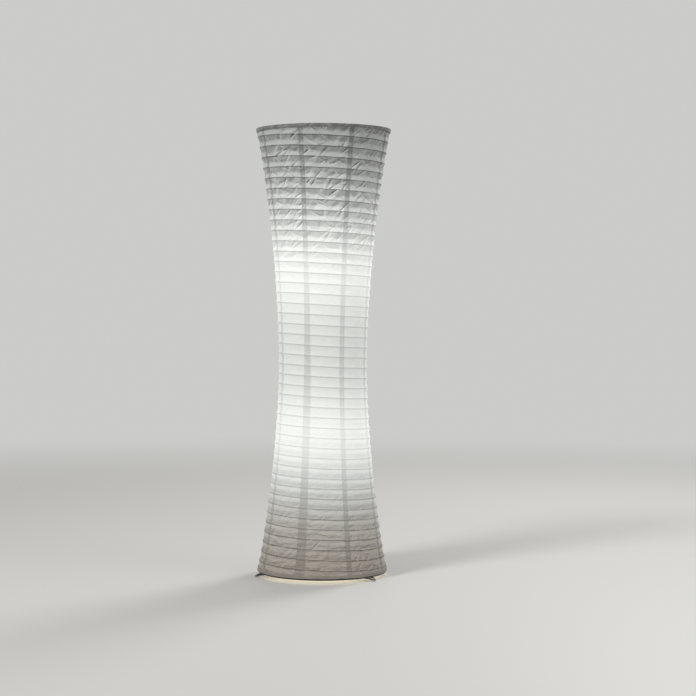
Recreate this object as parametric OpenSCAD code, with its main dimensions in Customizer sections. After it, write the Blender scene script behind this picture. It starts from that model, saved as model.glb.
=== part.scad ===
// Paper lantern floor lamp.
// A folding paper shade, held open by one spiral rib wire, stands round an upright frame with
// two lampholders. The frame stands on three hairpin wire feet, and a sprung wire spreader at
// its head holds the shade's top ring up. The shade's bottom ring rests on the base ring.
// The origin is on the lamp's axis at the floor, +Z is up and the front faces -Y.

/* [Shade] */
// Height from the floor to the top edge of the paper
overall_h = 1200; // [1100:10:1400]
// Outside radius of the paper at its top edge
top_r = 181.5; // [160:0.5:210]
// Outside radius of the paper at its bottom edge
bottom_r = 175.5; // [165:0.5:200]
// Outside radius of the paper at its waist
waist_r = 120; // [100:1:160]
// Height of the waist
waist_z = 560; // [450:10:700]
// How slowly the shade flares from the waist to its top
top_flare = 1.75; // [1.4:0.05:2.5]
// How slowly the shade flares from the waist to its bottom
low_flare = 1.6; // [1.4:0.05:2.5]
// Thickness of the paper
paper_t = 0.4; // [0.2:0.05:0.8]
// Height of the straight hem at each edge of the paper
hem_h = 9; // [8:0.5:10]
// How far the paper draws in between two turns of the rib wire
paper_dip = 2.4; // [0:0.1:3]
// Azimuth of the first glued lap
lap_az = -110; // [-180:1:180]
// Width of a glued lap, as an angle
lap_deg = 5.5; // [3:0.1:9]

/* [Rib wire and rings] */
// Diameter of the spiral rib wire
rib_d = 1.8; // [1:0.1:2.5]
// Turns of the spiral rib wire, counted from its low end at +X
rib_turns = 42.5; // [30:0.5:50]
// How much taller than the middle bands the shade's weight pulls its top one, as a share
band_stretch = 0.03; // [0:0.005:0.06]
// Paper between the bottom edge and the rib wire's low end
low_hem = 13.6; // [12:0.1:40]
// Paper between the rib wire's high end and the top edge
top_hem = 22.4; // [15:0.1:40]
// Diameter of the top ring's wire
top_ring_d = 3; // [2:0.1:4]
// Depth of the top ring's wire under the paper's top edge
top_ring_drop = 1; // [0.5:0.1:3]
// Diameter of the bottom ring's wire
bottom_ring_d = 2.5; // [2:0.1:4]

/* [Base] */
// Reach of a foot from the lamp's axis
foot_reach = 188; // [186:0.5:210]
// Azimuth of the first foot
foot_az = 198; // [190:1:206]
// Diameter of the leg wire
leg_d = 3.5; // [3:0.1:4.5]
// Height of the leg wire's centreline over the floor
leg_z = 6.5; // [6:0.1:10]
// Distance between the two runs of one leg
leg_gap = 18; // [14:0.5:24]
// Radius at which the legs begin under the base plate
leg_start_r = 50; // [49:1:60]
// Diameter of the base ring's wire
base_ring_d = 4; // [3:0.1:6]
// Radius of the base plate
plate_r = 70; // [65:1:90]
// Thickness of the base plate
plate_t = 2.5; // [2:0.1:4]
// Radius of a foot cap
foot_cap_r = 6; // [5:0.1:7]
// Height of a foot cap
foot_cap_h = 5.5; // [5:0.1:6]
// Rubber under the wire in a foot cap
foot_sole = 1; // [0.8:0.1:1.5]
// Bore of the cord grommet
grommet_bore_r = 3.5; // [2.5:0.1:4.5]
// Distance of the cord grommet behind the lamp's axis
grommet_y = 32; // [30:0.5:36]

/* [Frame] */
// Distance of each rod from the lamp's axis
rod_x = 42; // [40:0.5:46]
// Diameter of a rod
rod_d = 5; // [4:0.1:6]
// Height of the joint between a rod's two lengths
rod_joint_z = 560; // [500:5:610]
// Drop of the top bridge's upper face under the paper's top edge
top_bridge_drop = 44; // [42:1:60]
// Thickness of the bridges
bridge_t = 3; // [2:0.1:4]
// Width of the bridges
bridge_w = 12; // [12:0.5:13]
// Width of a nut across its flats
nut_flats = 8; // [8:0.1:9]
// Height of a nut
nut_h = 4; // [3:0.1:4]
// Height of the spreader's hub
hub_h = 8; // [6:0.5:10]
// Width of the spreader's hub across its flats
hub_flats = 18; // [16:0.5:22]
// Diameter of the spreader's arm wire
arm_d = 3; // [2.5:0.1:3.5]
// Diameter of the threaded stud that holds the spreader
stud_d = 6; // [5:0.5:7]

/* [Lamps] */
// Height of the lower bulb's centre
lower_lamp_z = 366; // [300:1:400]
// Height of the upper bulb's centre
upper_lamp_z = 790; // [740:1:850]
// Diameter of a bulb
bulb_d = 60; // [50:1:62]
// Length of a bulb with its cap
bulb_l = 105; // [104:1:115]
// Wall of a bulb's glass
glass_t = 1; // [0.6:0.1:1.5]
// Radius of a bulb's screw cap over its thread
cap_r = 13.05; // [12.8:0.05:13.2]
// Length of a bulb's screw cap
cap_l = 25; // [24:0.5:27]
// Outside radius of a lampholder
holder_r = 19.5; // [19:0.1:22]
// Outside radius of a lampholder's threaded nipple
nipple_r = 5; // [4.5:0.1:5.5]
// Diameter of a lead
lead_d = 3; // [2.5:0.1:3.2]

/* [Clearances] */
// Gap between parts that rest on or against each other
seat_gap = 0.3; // [0.2:0.05:0.5]
// Radial play of a rod, screw, stud or lead in its hole
hole_play = 0.1; // [0.05:0.05:0.2]
// Play between two layers of paper in a lap
lap_play = 1.1; // [1.1:0.1:1.4]
// Play between the rib wire and the innermost paper, on a crest
rib_play = 1.5; // [1.4:0.1:2]

/* [Hidden] */
$fn = 64;

// Heights of the base, from the floor up.
leg_r = leg_d / 2;
plate_z = leg_z + leg_r;
plate_top_z = plate_z + plate_t;
base_ring_z = leg_z + leg_r + base_ring_d / 2;
shade_z = base_ring_z + base_ring_d / 2 + seat_gap;

// Shade. The radius follows one smooth curve above the waist and one below it.
end_hook = 0.1; // share of the flare that comes only near the ends
end_hook_power = 6;
gores = 8;
gore_deg = 360 / gores;
rib_low_z = shade_z + low_hem;
rib_climb = overall_h - top_hem - rib_low_z;
rib_pitch = rib_climb / rib_turns;
rib_inset = 2 * paper_t + lap_play + rib_play + rib_d / 2;
top_ring_z = overall_h - top_ring_drop - top_ring_d / 2;
bottom_ring_z = shade_z + bottom_ring_d / 2;

function flare(t, power) = (1 - end_hook) * pow(t, power) + end_hook * pow(t, end_hook_power);
function shade_r(z) = z > waist_z
    ? waist_r + (top_r - waist_r) * flare((z - waist_z) / (overall_h - waist_z), top_flare)
    : waist_r + (bottom_r - waist_r) * flare((waist_z - z) / (waist_z - shade_z), low_flare);
function hem_ring_r(z, wire_d) = shade_r(z) - 2 * paper_t - lap_play - seat_gap - wire_d / 2;

top_ring_r = hem_ring_r(top_ring_z, top_ring_d);
bottom_ring_r = hem_ring_r(bottom_ring_z, bottom_ring_d);

// Rib wire. Each half turn is a plane arc that climbs about half a pitch, a little more the
// higher it is. Even half turns run from +X across the front to -X, and odd ones run on across
// the back, so that the spiral is left-handed and its arcs meet square to Y.
rib_halves = 2 * rib_turns;
function half_z(i) = let (s = i / rib_halves)
    rib_low_z + rib_climb * (s - band_stretch * s * (1 - s));
function half_climb(i) = half_z(i + 1) - half_z(i);
function half_r(i) = shade_r(half_z(i)) - rib_inset;
function half_side(i) = i % 2 == 0 ? 1 : -1;
function half_span(i) = half_r(i) + half_r(i + 1);
function arc_r(i) = norm([half_span(i) / 2, half_climb(i) / 2]);
function arc_x(i) = half_side(i) * (half_r(i) - half_r(i + 1)) / 2;
function arc_z(i) = half_z(i) + half_climb(i) / 2;
function arc_tilt(i) = atan2(half_climb(i), half_span(i));
function rib_point(i, share) = let (a = 180 * share, side = half_side(i)) [
    arc_x(i) + side * arc_r(i) * cos(a) * cos(arc_tilt(i)),
    -side * arc_r(i) * sin(a),
    arc_z(i) - arc_r(i) * cos(a) * sin(arc_tilt(i))
];
gap_steps = 8;
rib_gap = min([
    for (i = [0:rib_halves - 3], s = [1:gap_steps - 1], near = [-1:1])
        norm(rib_point(i, s / gap_steps) - rib_point(i + 2, (s + near) / gap_steps)) - rib_d
]);
echo(str("least gap between two turns of the rib wire, mm: ", rib_gap));

// The height at which the rib wire crosses an azimuth on its turn k.
function crest_z(az, k) = let (turned = (720 - az) % 360, half = floor(turned / 180))
    rib_point(2 * k + half, turned / 180 - half)[2];

// Legs.
foot_azimuths = [for (k = [0:2]) foot_az + 120 * k];
leg_bend_r = 4;
tip_bend_r = 2.5;
tip_run = 12;
foot_cap_at = foot_reach - foot_cap_r + 1;
foot_tip_z = foot_sole + leg_r;
foot_cap_chamfer = 0.8;

// Frame.
rod_r = rod_d / 2;
rod_low_z = plate_z - nut_h - 0.5;
bridge_boss_r = bridge_w / 2;
bridge_boss_h = 8;
coupler_l = 20;
dome_h = 7;
top_bridge_z = overall_h - top_bridge_drop;
rod_top_z = top_bridge_z + nut_h;
set_screw_r = 1.5;
set_screw_head_r = 2.8;
set_screw_l = 6;
hub_z = top_bridge_z + hub_h / 2;

thumb_nut_h = 7;
thumb_nut_r = 10;
stud_top_z = top_bridge_z + hub_h + thumb_nut_h + 1.5;
arm_level_z = top_ring_z - top_ring_d / 2 - seat_gap - arm_d / 2;
arm_end_r = top_ring_r + 0.6;
arm_pin_d = 2.4;
arm_bend_r = 6;

// Lamps, measured down from the bulb's centre.
bulb_r = bulb_d / 2;
tip_z = bulb_r - bulb_l;
tip_h = 1;
insulator_h = 3;
cap_z = tip_z + tip_h + insulator_h;
cap_wall = 0.4;
cap_floor_r = 9;
thread_n = 6;
thread_depth = 0.5;
neck_r = cap_r + 0.25;
neck_blend_r = bulb_r;
shell_r = cap_r + 0.35;
shell_t = 0.5;
holder_wall = 2.7;
mouth_z = cap_z + cap_l - 2;
contact_h = 1.7;
insert_z = tip_z - seat_gap - contact_h;
insert_h = 7;
holder_floor_t = 4;
holder_floor_z = insert_z - insert_h - holder_floor_t;
holder_cap_h = 18;
holder_cap_t = 2.5;
bridge_drop = holder_floor_z - holder_cap_h;
nipple_bore_r = nipple_r - 1.4;
nipple_nut_h = 4;
nipple_nut_flats = 14;
nipple_low_z = bridge_drop - bridge_t - nipple_nut_h - 11;
nipple_l = 26;

// Leads run up the rods' rear sides, clear of the bridge bosses.
lead_r = lead_d / 2;
lead_y = bridge_boss_r + lead_r + 0.7;
lead_out_z = plate_top_z + 9;
lead_bend_r = 6;
lead_turn_drop = 14;
lead_in_nipple = 20;
clip_h = 6;
clip_wall = 1.4;
block_size = [30, 24, 18];
block_grip = 4;
terminal_r = 3;
terminal_h = 3;
grommet_wall = 2.5;
grommet_flange = 2;
grommet_flange_h = 1.5;

// Where one length of wire runs on into the next.
join_lap = 0.05;
join_bead = 0.02;

// The long rib wire has flat sides, so that its surface stays light to mesh.
rib_sides = 6;

wire_black = "#232222";
zinc = "#9aa0a3";
brass = "#b8964e";
bakelite = "#1c1c1d";
paper_colour = "#f1eee4";

// ---- Shared shapes ----

function unit(v) = v / norm(v);
function heading(points, i) = unit(points[i + 1] - points[i]);
function half_turn_of(points, i) = acos(heading(points, i - 1) * heading(points, i)) / 2;
function bend_cut(points, i, bends) =
    i == 0 || i == len(points) - 1 ? 0 : bends[i - 1] * tan(half_turn_of(points, i));

module bent_corner(corner, u, v, d, bend_r) {
    half = acos(u * v) / 2;
    centre = corner + unit(v - u) * bend_r / cos(half);
    x = unit(corner - u * bend_r * tan(half) - centre);
    n = unit(cross(u, v));
    multmatrix([
        [x[0], u[0], n[0], centre[0]],
        [x[1], u[1], n[1], centre[1]],
        [x[2], u[2], n[2], centre[2]],
        [0, 0, 0, 1],
    ])
        rotate_extrude(angle = 2 * half) translate([bend_r, 0]) circle(d = d);
}

module straight_wire(a, b, d) {
    along = b - a;
    translate(a)
        rotate([0, acos(along[2] / norm(along)), atan2(along[1], along[0])])
            cylinder(d = d, h = norm(along));
}

// A round wire along a list of corner points, with one bend radius for each inner corner. The
// straights run a little way into the bends, which are slightly thicker.
module wire(points, d, bends) {
    for (i = [0:len(points) - 2]) {
        u = heading(points, i);
        from_lap = i == 0 ? 0 : join_lap;
        to_lap = i == len(points) - 2 ? 0 : join_lap;
        straight_wire(
            points[i] + u * (bend_cut(points, i, bends) - from_lap),
            points[i + 1] - u * (bend_cut(points, i + 1, bends) - to_lap),
            d
        );
        if (i > 0) bent_corner(points[i], heading(points, i - 1), u, d + join_bead, bends[i - 1]);
    }
}

module ring(r, d, z) {
    translate([0, 0, z]) rotate_extrude($fn = 128) translate([r, 0]) circle(d = d);
}

module hex(flats, h) {
    cylinder(r = flats / 2 / cos(30), h = h, $fn = 6);
}

module nut(flats, h, bore_r) {
    difference() {
        hex(flats, h);
        translate([0, 0, -1]) cylinder(r = bore_r, h = h + 2);
    }
}

// ---- Base ----

// One hairpin of wire: out along one side, round the foot's tip and back.
function leg_path() = [
    [leg_start_r, leg_gap / 2, leg_z],
    [foot_reach - tip_run, leg_gap / 2, leg_z],
    [foot_reach, 0, foot_tip_z],
    [foot_reach - tip_run, -leg_gap / 2, leg_z],
    [leg_start_r, -leg_gap / 2, leg_z],
];

module leg(az, d = leg_d) {
    rotate([0, 0, az]) wire(leg_path(), d, [leg_bend_r, tip_bend_r, leg_bend_r]);
}

module leg_left() { color(wire_black) leg(foot_azimuths[0]); }
module leg_right() { color(wire_black) leg(foot_azimuths[1]); }
module leg_rear() { color(wire_black) leg(foot_azimuths[2]); }

// Rubber buttons that push on to the tips of the legs, flat underneath.
module foot_caps() {
    color(bakelite)
        for (az = foot_azimuths)
            difference() {
                rotate([0, 0, az])
                    translate([foot_cap_at, 0, 0]) {
                        cylinder(r1 = foot_cap_r - foot_cap_chamfer, r2 = foot_cap_r, h = foot_cap_chamfer);
                        translate([0, 0, foot_cap_chamfer])
                            cylinder(r = foot_cap_r, h = foot_cap_h - foot_cap_chamfer);
                    }
                leg(az, leg_d + 2 * hole_play);
            }
}

module base_ring() { color(wire_black) ring(bottom_ring_r, base_ring_d, base_ring_z); }

module base_plate() {
    color(wire_black)
        difference() {
            translate([0, 0, plate_z]) cylinder(r = plate_r, h = plate_t, $fn = 96);
            for (side = [-1, 1])
                translate([side * rod_x, 0, 0]) cylinder(r = rod_r + hole_play, h = plate_top_z + 1);
            translate([0, grommet_y, 0])
                cylinder(r = grommet_bore_r + grommet_wall + hole_play, h = plate_top_z + 1);
        }
}

module base_nuts() {
    color(zinc)
        for (side = [-1, 1], z = [plate_z - nut_h, plate_top_z])
            translate([side * rod_x, 0, z]) nut(nut_flats, nut_h, rod_r + hole_play);
}

// A rubber grommet with a flange on each face of the plate.
module cord_grommet() {
    color(bakelite)
        translate([0, grommet_y, plate_z])
            difference() {
                union() {
                    cylinder(r = grommet_bore_r + grommet_wall, h = plate_t);
                    for (z = [-grommet_flange_h, plate_t])
                        translate([0, 0, z])
                            cylinder(r = grommet_bore_r + grommet_wall + grommet_flange, h = grommet_flange_h);
                }
                translate([0, 0, -grommet_flange_h - 1])
                    cylinder(r = grommet_bore_r, h = plate_t + 2 * grommet_flange_h + 2);
            }
}

module terminal_block() {
    color("#e9e7e0")
        difference() {
            translate([-block_size[0] / 2, -block_size[1] / 2, plate_top_z]) cube(block_size);
            for (side = [-1, 1])
                translate([side * block_size[0] / 2, lead_y, lead_out_z])
                    rotate([0, -side * 90, 0])
                        translate([0, 0, -1]) cylinder(r = lead_r + hole_play, h = block_grip + 1 + seat_gap);
            translate([0, block_size[1] / 2 + 1, lead_out_z])
                rotate([90, 0, 0]) cylinder(r = grommet_bore_r, h = block_grip + 1);
            for (x = [-8, 0, 8])
                translate([x, 0, plate_top_z + block_size[2] - terminal_h - 1])
                    cylinder(r = terminal_r, h = terminal_h + 2);
        }
}

module terminal_screws() {
    color(brass)
        for (x = [-8, 0, 8])
            translate([x, 0, plate_top_z + block_size[2] - terminal_h - 1])
                difference() {
                    cylinder(r = terminal_r - hole_play, h = terminal_h);
                    translate([-terminal_r, -0.4, terminal_h - 1]) cube([2 * terminal_r, 0.8, 2]);
                }
}

// ---- Upright frame ----

module rod(side, from_z, to_z) {
    color(zinc) translate([side * rod_x, 0, from_z]) cylinder(r = rod_r, h = to_z - from_z);
}

module rod_left_lower() { rod(-1, rod_low_z, rod_joint_z); }
module rod_right_lower() { rod(1, rod_low_z, rod_joint_z); }
module rod_left_upper() { rod(-1, rod_joint_z, rod_top_z); }
module rod_right_upper() { rod(1, rod_joint_z, rod_top_z); }

module rod_couplers() {
    color(zinc)
        for (side = [-1, 1])
            translate([side * rod_x, 0, rod_joint_z - coupler_l / 2])
                nut(nut_flats, coupler_l, rod_r + hole_play);
}

// A flat strap with a boss on each rod and a hole for the lampholder's nipple.
module lamp_bridge(lamp_z) {
    color(wire_black)
        translate([0, 0, lamp_z + bridge_drop - bridge_t])
            difference() {
                union() {
                    translate([-rod_x, -bridge_w / 2, 0]) cube([2 * rod_x, bridge_w, bridge_t]);
                    for (side = [-1, 1])
                        translate([side * rod_x, 0, (bridge_t - bridge_boss_h) / 2])
                            cylinder(r = bridge_boss_r, h = bridge_boss_h);
                    cylinder(r = nipple_r + 6, h = bridge_t);
                }
                for (side = [-1, 1]) {
                    translate([side * rod_x, 0, -bridge_boss_h])
                        cylinder(r = rod_r + hole_play, h = 2 * bridge_boss_h);
                    translate([side * rod_x, 0, bridge_t / 2])
                        rotate([0, side * 90, 0])
                            cylinder(r = set_screw_r + hole_play, h = bridge_boss_r + 1);
                }
                translate([0, 0, -1]) cylinder(r = nipple_r + hole_play, h = bridge_t + 2);
            }
}

module lower_bridge() { lamp_bridge(lower_lamp_z); }
module upper_bridge() { lamp_bridge(upper_lamp_z); }

module bridge_screws() {
    color(zinc)
        for (side = [-1, 1], lamp_z = [lower_lamp_z, upper_lamp_z])
            translate([side * (rod_x + rod_r + hole_play), 0, lamp_z + bridge_drop - bridge_t / 2])
                rotate([0, side * 90, 0])
                    difference() {
                        union() {
                            cylinder(r = set_screw_r, h = set_screw_l);
                            translate([0, 0, bridge_boss_r - rod_r])
                                cylinder(r = set_screw_head_r, h = set_screw_l - bridge_boss_r + rod_r);
                        }
                        translate([-set_screw_head_r, -0.4, set_screw_l - 0.8])
                            cube([2 * set_screw_head_r, 0.8, 2]);
                    }
}

// The top bridge carries the stud on which the spreader's hub sits.
module top_bridge() {
    color(wire_black)
        difference() {
            union() {
                translate([-rod_x, -bridge_w / 2, top_bridge_z - bridge_t])
                    cube([2 * rod_x, bridge_w, bridge_t]);
                for (side = [-1, 1])
                    translate([side * rod_x, 0, top_bridge_z - bridge_t])
                        cylinder(r = bridge_w / 2, h = bridge_t);
                translate([0, 0, top_bridge_z]) cylinder(d = stud_d, h = stud_top_z - top_bridge_z);
            }
            for (side = [-1, 1])
                translate([side * rod_x, 0, top_bridge_z - bridge_t - 1])
                    cylinder(r = rod_r + hole_play, h = bridge_t + 2);
        }
}

// A plain nut under the top bridge and a domed one over it, on each rod.
module top_nuts() {
    color(zinc)
        for (side = [-1, 1]) {
            translate([side * rod_x, 0, top_bridge_z - bridge_t - nut_h])
                nut(nut_flats, nut_h, rod_r + hole_play);
            translate([side * rod_x, 0, top_bridge_z])
                difference() {
                    union() {
                        hex(nut_flats, nut_h);
                        cylinder(r = nut_flats / 2 - seat_gap, h = dome_h - 1);
                        translate([0, 0, dome_h - 1])
                            cylinder(r1 = nut_flats / 2 - seat_gap, r2 = nut_flats / 4, h = 1);
                    }
                    translate([0, 0, -1]) cylinder(r = rod_r + hole_play, h = nut_h + 1 + seat_gap);
                }
        }
}

// ---- Lampholders ----

module holder_nipple(lamp_z) {
    color(zinc)
        translate([0, 0, lamp_z + nipple_low_z])
            difference() {
                cylinder(r = nipple_r, h = nipple_l);
                translate([0, 0, -1]) cylinder(r = nipple_bore_r, h = nipple_l + 2);
            }
}

module holder_nipple_nut(lamp_z) {
    color(zinc)
        translate([0, 0, lamp_z + bridge_drop - bridge_t - nipple_nut_h])
            nut(nipple_nut_flats, nipple_nut_h, nipple_r + hole_play);
}

// The cap is a hollow cone that screws on to the nipple and holds the body's skirt.
module holder_cap(lamp_z) {
    color(bakelite)
        translate([0, 0, lamp_z + bridge_drop])
            difference() {
                union() {
                    cylinder(r1 = holder_r - 8, r2 = holder_r, h = holder_cap_h / 2);
                    translate([0, 0, holder_cap_h / 2]) cylinder(r = holder_r, h = holder_cap_h / 2);
                }
                translate([0, 0, holder_cap_t])
                    cylinder(r1 = holder_r - 10, r2 = holder_r - holder_wall, h = holder_cap_h / 2);
                translate([0, 0, holder_cap_t + holder_cap_h / 2])
                    cylinder(r = holder_r - holder_wall, h = holder_cap_h);
                translate([0, 0, -1]) cylinder(r = nipple_r + hole_play, h = holder_cap_t + 2);
            }
}

module holder_body(lamp_z) {
    color(bakelite)
        translate([0, 0, lamp_z])
            difference() {
                translate([0, 0, holder_floor_z]) cylinder(r = holder_r, h = mouth_z - holder_floor_z);
                translate([0, 0, holder_floor_z + holder_floor_t])
                    cylinder(r = holder_r - holder_wall, h = mouth_z - holder_floor_z);
                translate([0, 0, holder_floor_z - 1]) cylinder(r = nipple_r + 1, h = holder_floor_t + 2);
            }
}

module holder_insert(lamp_z) {
    color("#ece8dd")
        translate([0, 0, lamp_z + insert_z - insert_h])
            difference() {
                cylinder(r = holder_r - holder_wall - seat_gap, h = insert_h);
                for (side = [-1, 1])
                    translate([side * nipple_bore_r, 0, -1]) cylinder(r = 1, h = insert_h / 2);
            }
}

module holder_shell(lamp_z) {
    color(brass)
        translate([0, 0, lamp_z + insert_z])
            difference() {
                cylinder(r = shell_r + shell_t, h = mouth_z - insert_z - 2);
                translate([0, 0, -1]) cylinder(r = shell_r, h = mouth_z - insert_z);
            }
}

module holder_contact(lamp_z) {
    color(brass) translate([0, 0, lamp_z + insert_z]) cylinder(r = 4, h = contact_h);
}

module lower_nipple() { holder_nipple(lower_lamp_z); }
module upper_nipple() { holder_nipple(upper_lamp_z); }
module lower_nipple_nut() { holder_nipple_nut(lower_lamp_z); }
module upper_nipple_nut() { holder_nipple_nut(upper_lamp_z); }
module lower_holder_cap() { holder_cap(lower_lamp_z); }
module upper_holder_cap() { holder_cap(upper_lamp_z); }
module lower_holder_body() { holder_body(lower_lamp_z); }
module upper_holder_body() { holder_body(upper_lamp_z); }
module lower_holder_insert() { holder_insert(lower_lamp_z); }
module upper_holder_insert() { holder_insert(upper_lamp_z); }
module lower_screw_shell() { holder_shell(lower_lamp_z); }
module upper_screw_shell() { holder_shell(upper_lamp_z); }
module lower_holder_contact() { holder_contact(lower_lamp_z); }
module upper_holder_contact() { holder_contact(upper_lamp_z); }

// ---- Leads ----

// A lead leaves the terminal block, runs up the rear of one rod and turns in under the nipple.
module lead(side, lamp_z) {
    turn_z = lamp_z + nipple_low_z - lead_turn_drop;
    color("#d9d5c8")
        wire(
            [
                [side * (block_size[0] / 2 - block_grip), lead_y, lead_out_z],
                [side * rod_x, lead_y, lead_out_z],
                [side * rod_x, lead_y, turn_z],
                [0, 0, turn_z],
                [0, 0, turn_z + lead_turn_drop + lead_in_nipple],
            ],
            lead_d, [lead_bend_r, lead_bend_r, lead_bend_r]
        );
}

module lower_lead() { lead(-1, lower_lamp_z); }
module upper_lead() { lead(1, upper_lamp_z); }

// Snap-on clips, each with one eye round the rod and one round the lead.
module lead_clip(x, z) {
    translate([x, 0, z])
        difference() {
            union() {
                cylinder(r = rod_r + hole_play + clip_wall, h = clip_h);
                translate([0, lead_y, 0]) cylinder(r = lead_r + hole_play + clip_wall, h = clip_h);
                translate([-clip_wall, 0, 0]) cube([2 * clip_wall, lead_y, clip_h]);
            }
            translate([0, 0, -1]) cylinder(r = rod_r + hole_play, h = clip_h + 2);
            translate([0, lead_y, -1]) cylinder(r = lead_r + hole_play, h = clip_h + 2);
        }
}

module lead_clips() {
    color(bakelite) {
        for (share = [0.35, 0.85])
            lead_clip(-rod_x, share * (lower_lamp_z + nipple_low_z - lead_turn_drop));
        for (share = [0.13, 0.5, 0.72, 0.94])
            lead_clip(rod_x, share * (upper_lamp_z + nipple_low_z - lead_turn_drop));
    }
}

// ---- Bulbs ----

// The glass outline: a ball, then a hollow curve down to the neck. inset is how far inside.
function neck_angle() = acos((neck_r + neck_blend_r) / (bulb_r + neck_blend_r));
function glass_edge(inset) = concat(
    [for (k = [0:12]) let (a = 90 - k * (90 + neck_angle()) / 12)
        [(bulb_r - inset) * cos(a), (bulb_r - inset) * sin(a)]],
    [for (k = [1:6]) let (a = neck_angle() * (1 - k / 6))
        [neck_r + neck_blend_r - (neck_blend_r + inset) * cos(a),
         -(bulb_r + neck_blend_r) * sin(neck_angle()) + (neck_blend_r + inset) * sin(a)]],
    [[neck_r - inset, cap_z + cap_l]]
);

function backwards(list) = [for (i = [len(list) - 1:-1:0]) list[i]];

module bulb_glass(lamp_z) {
    color("#f7f4ea")
        translate([0, 0, lamp_z])
            rotate_extrude() polygon(concat(glass_edge(0), backwards(glass_edge(glass_t))));
}

// The screw cap: a thin shell whose thread is drawn as rounds.
module bulb_cap(lamp_z) {
    step = (cap_l - 3) / thread_n;
    outer = [for (k = [0:thread_n - 1]) each [
        [cap_r - thread_depth, cap_z + 1.5 + k * step],
        [cap_r, cap_z + 1.5 + (k + 0.5) * step],
    ]];
    color(zinc)
        translate([0, 0, lamp_z])
            rotate_extrude()
                polygon(concat(
                    [[cap_floor_r, cap_z], [cap_r - 1, cap_z]],
                    outer,
                    [
                        [cap_r - thread_depth, cap_z + cap_l - 1.5],
                        [cap_r - thread_depth, cap_z + cap_l],
                        [cap_r - thread_depth - cap_wall, cap_z + cap_l],
                        [cap_r - thread_depth - cap_wall, cap_z + 1],
                        [cap_floor_r, cap_z + cap_wall],
                    ]
                ));
}

module bulb_contact(lamp_z) {
    color(bakelite)
        translate([0, 0, lamp_z + tip_z]) {
            cylinder(r = 4, h = tip_h);
            translate([0, 0, tip_h]) cylinder(r1 = 5, r2 = cap_floor_r, h = insulator_h);
        }
}

module lower_bulb_contact() { bulb_contact(lower_lamp_z); }
module upper_bulb_contact() { bulb_contact(upper_lamp_z); }
module lower_bulb_cap() { bulb_cap(lower_lamp_z); }
module upper_bulb_cap() { bulb_cap(upper_lamp_z); }
module lower_bulb_glass() { bulb_glass(lower_lamp_z); }
module upper_bulb_glass() { bulb_glass(upper_lamp_z); }

// ---- Spreader ----

module spreader_hub() {
    color(wire_black)
        translate([0, 0, top_bridge_z])
            difference() {
                rotate([0, 0, foot_az - 30]) hex(hub_flats, hub_h);
                translate([0, 0, -1]) cylinder(d = stud_d + 2 * hole_play, h = hub_h + 2);
            }
}

// An arm of springy wire that rises from the hub and levels out under the top ring, with a
// short pin that stands inside the ring.
module spreader_arm(az) {
    pin_x = top_ring_r - top_ring_d / 2 - seat_gap - arm_pin_d / 2;
    color(wire_black)
        rotate([0, 0, az]) {
            wire(
                [
                    [hub_flats / 2, 0, hub_z],
                    [hub_flats / 2 + 14, 0, hub_z],
                    [arm_end_r - 16, 0, arm_level_z],
                    [arm_end_r, 0, arm_level_z],
                ],
                arm_d, [arm_bend_r, arm_bend_r]
            );
            translate([pin_x, 0, arm_level_z])
                cylinder(d = arm_pin_d, h = top_ring_z + top_ring_d / 2 - arm_level_z);
        }
}

module spreader_arm_left() { spreader_arm(foot_azimuths[0]); }
module spreader_arm_right() { spreader_arm(foot_azimuths[1]); }
module spreader_arm_rear() { spreader_arm(foot_azimuths[2]); }

module thumb_nut() {
    color(zinc)
        translate([0, 0, top_bridge_z + hub_h])
            difference() {
                cylinder(r = thumb_nut_r, h = thumb_nut_h, $fn = 12);
                translate([0, 0, -1]) cylinder(d = stud_d + 2 * hole_play, h = thumb_nut_h + 2);
            }
}

// ---- Shade ----

module bottom_ring() { color(zinc) ring(bottom_ring_r, bottom_ring_d, bottom_ring_z); }
module top_ring() { color(zinc) ring(top_ring_r, top_ring_d, top_ring_z); }

// One half turn. Front halves run a little way into the slightly thicker back halves. The
// height is set in two steps, the hundreds first, to keep its fine digits.
module rib_half_turn(i) {
    front = i % 2 == 0;
    z = arc_z(i);
    lap = front ? join_lap / arc_r(i) * 180 / PI : 0;
    translate([0, 0, z - z % 100])
        translate([arc_x(i), 0, z % 100])
            rotate([0, half_side(i) * arc_tilt(i), 0])
                rotate([0, 0, front ? 180 - lap : 0])
                    rotate_extrude(angle = 180 + 2 * lap, $fn = 96)
                        translate([arc_r(i), 0])
                            circle(d = front ? rib_d : rib_d + join_bead, $fn = rib_sides);
}

// The half turns are joined in short lengths first, and the lengths to each other.
module spiral_rib() {
    length = 11;
    color(zinc)
        for (first = [0:length:rib_halves - 1])
            union() {
                for (i = [first:min(first + length, rib_halves) - 1]) rib_half_turn(i);
            }
}

// The heights at which a gore stands out: its straight hems, and its crests over every turn of
// the rib wire that passes under any part of it.
function gore_crests(middle_az) = let (
    past_start = (720 - middle_az) % 360,
    reach = (gore_deg + lap_deg) / 2
) concat(
    [shade_z + hem_h],
    [for (k = [-1:ceil(rib_turns)]) let (along = 360 * k + past_start)
        if (along + reach > 0 && along - reach < 180 * rib_halves) crest_z(middle_az, k)],
    [overall_h - hem_h]
);

// A gore's edge, from the bottom hem up: out to each crest and in between them, the further
// the longer the stretch.
function gore_edge(crests, inset) = concat(
    [[shade_r(shade_z) - inset, shade_z], [shade_r(crests[0]) - inset, crests[0]]],
    [for (k = [1:len(crests) - 1]) let (
        z = (crests[k - 1] + crests[k]) / 2,
        dip = paper_dip * (crests[k] - crests[k - 1]) / rib_pitch
    ) each [[shade_r(z) - dip - inset, z], [shade_r(crests[k]) - inset, crests[k]]]],
    [[shade_r(overall_h) - inset, overall_h]]
);

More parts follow.
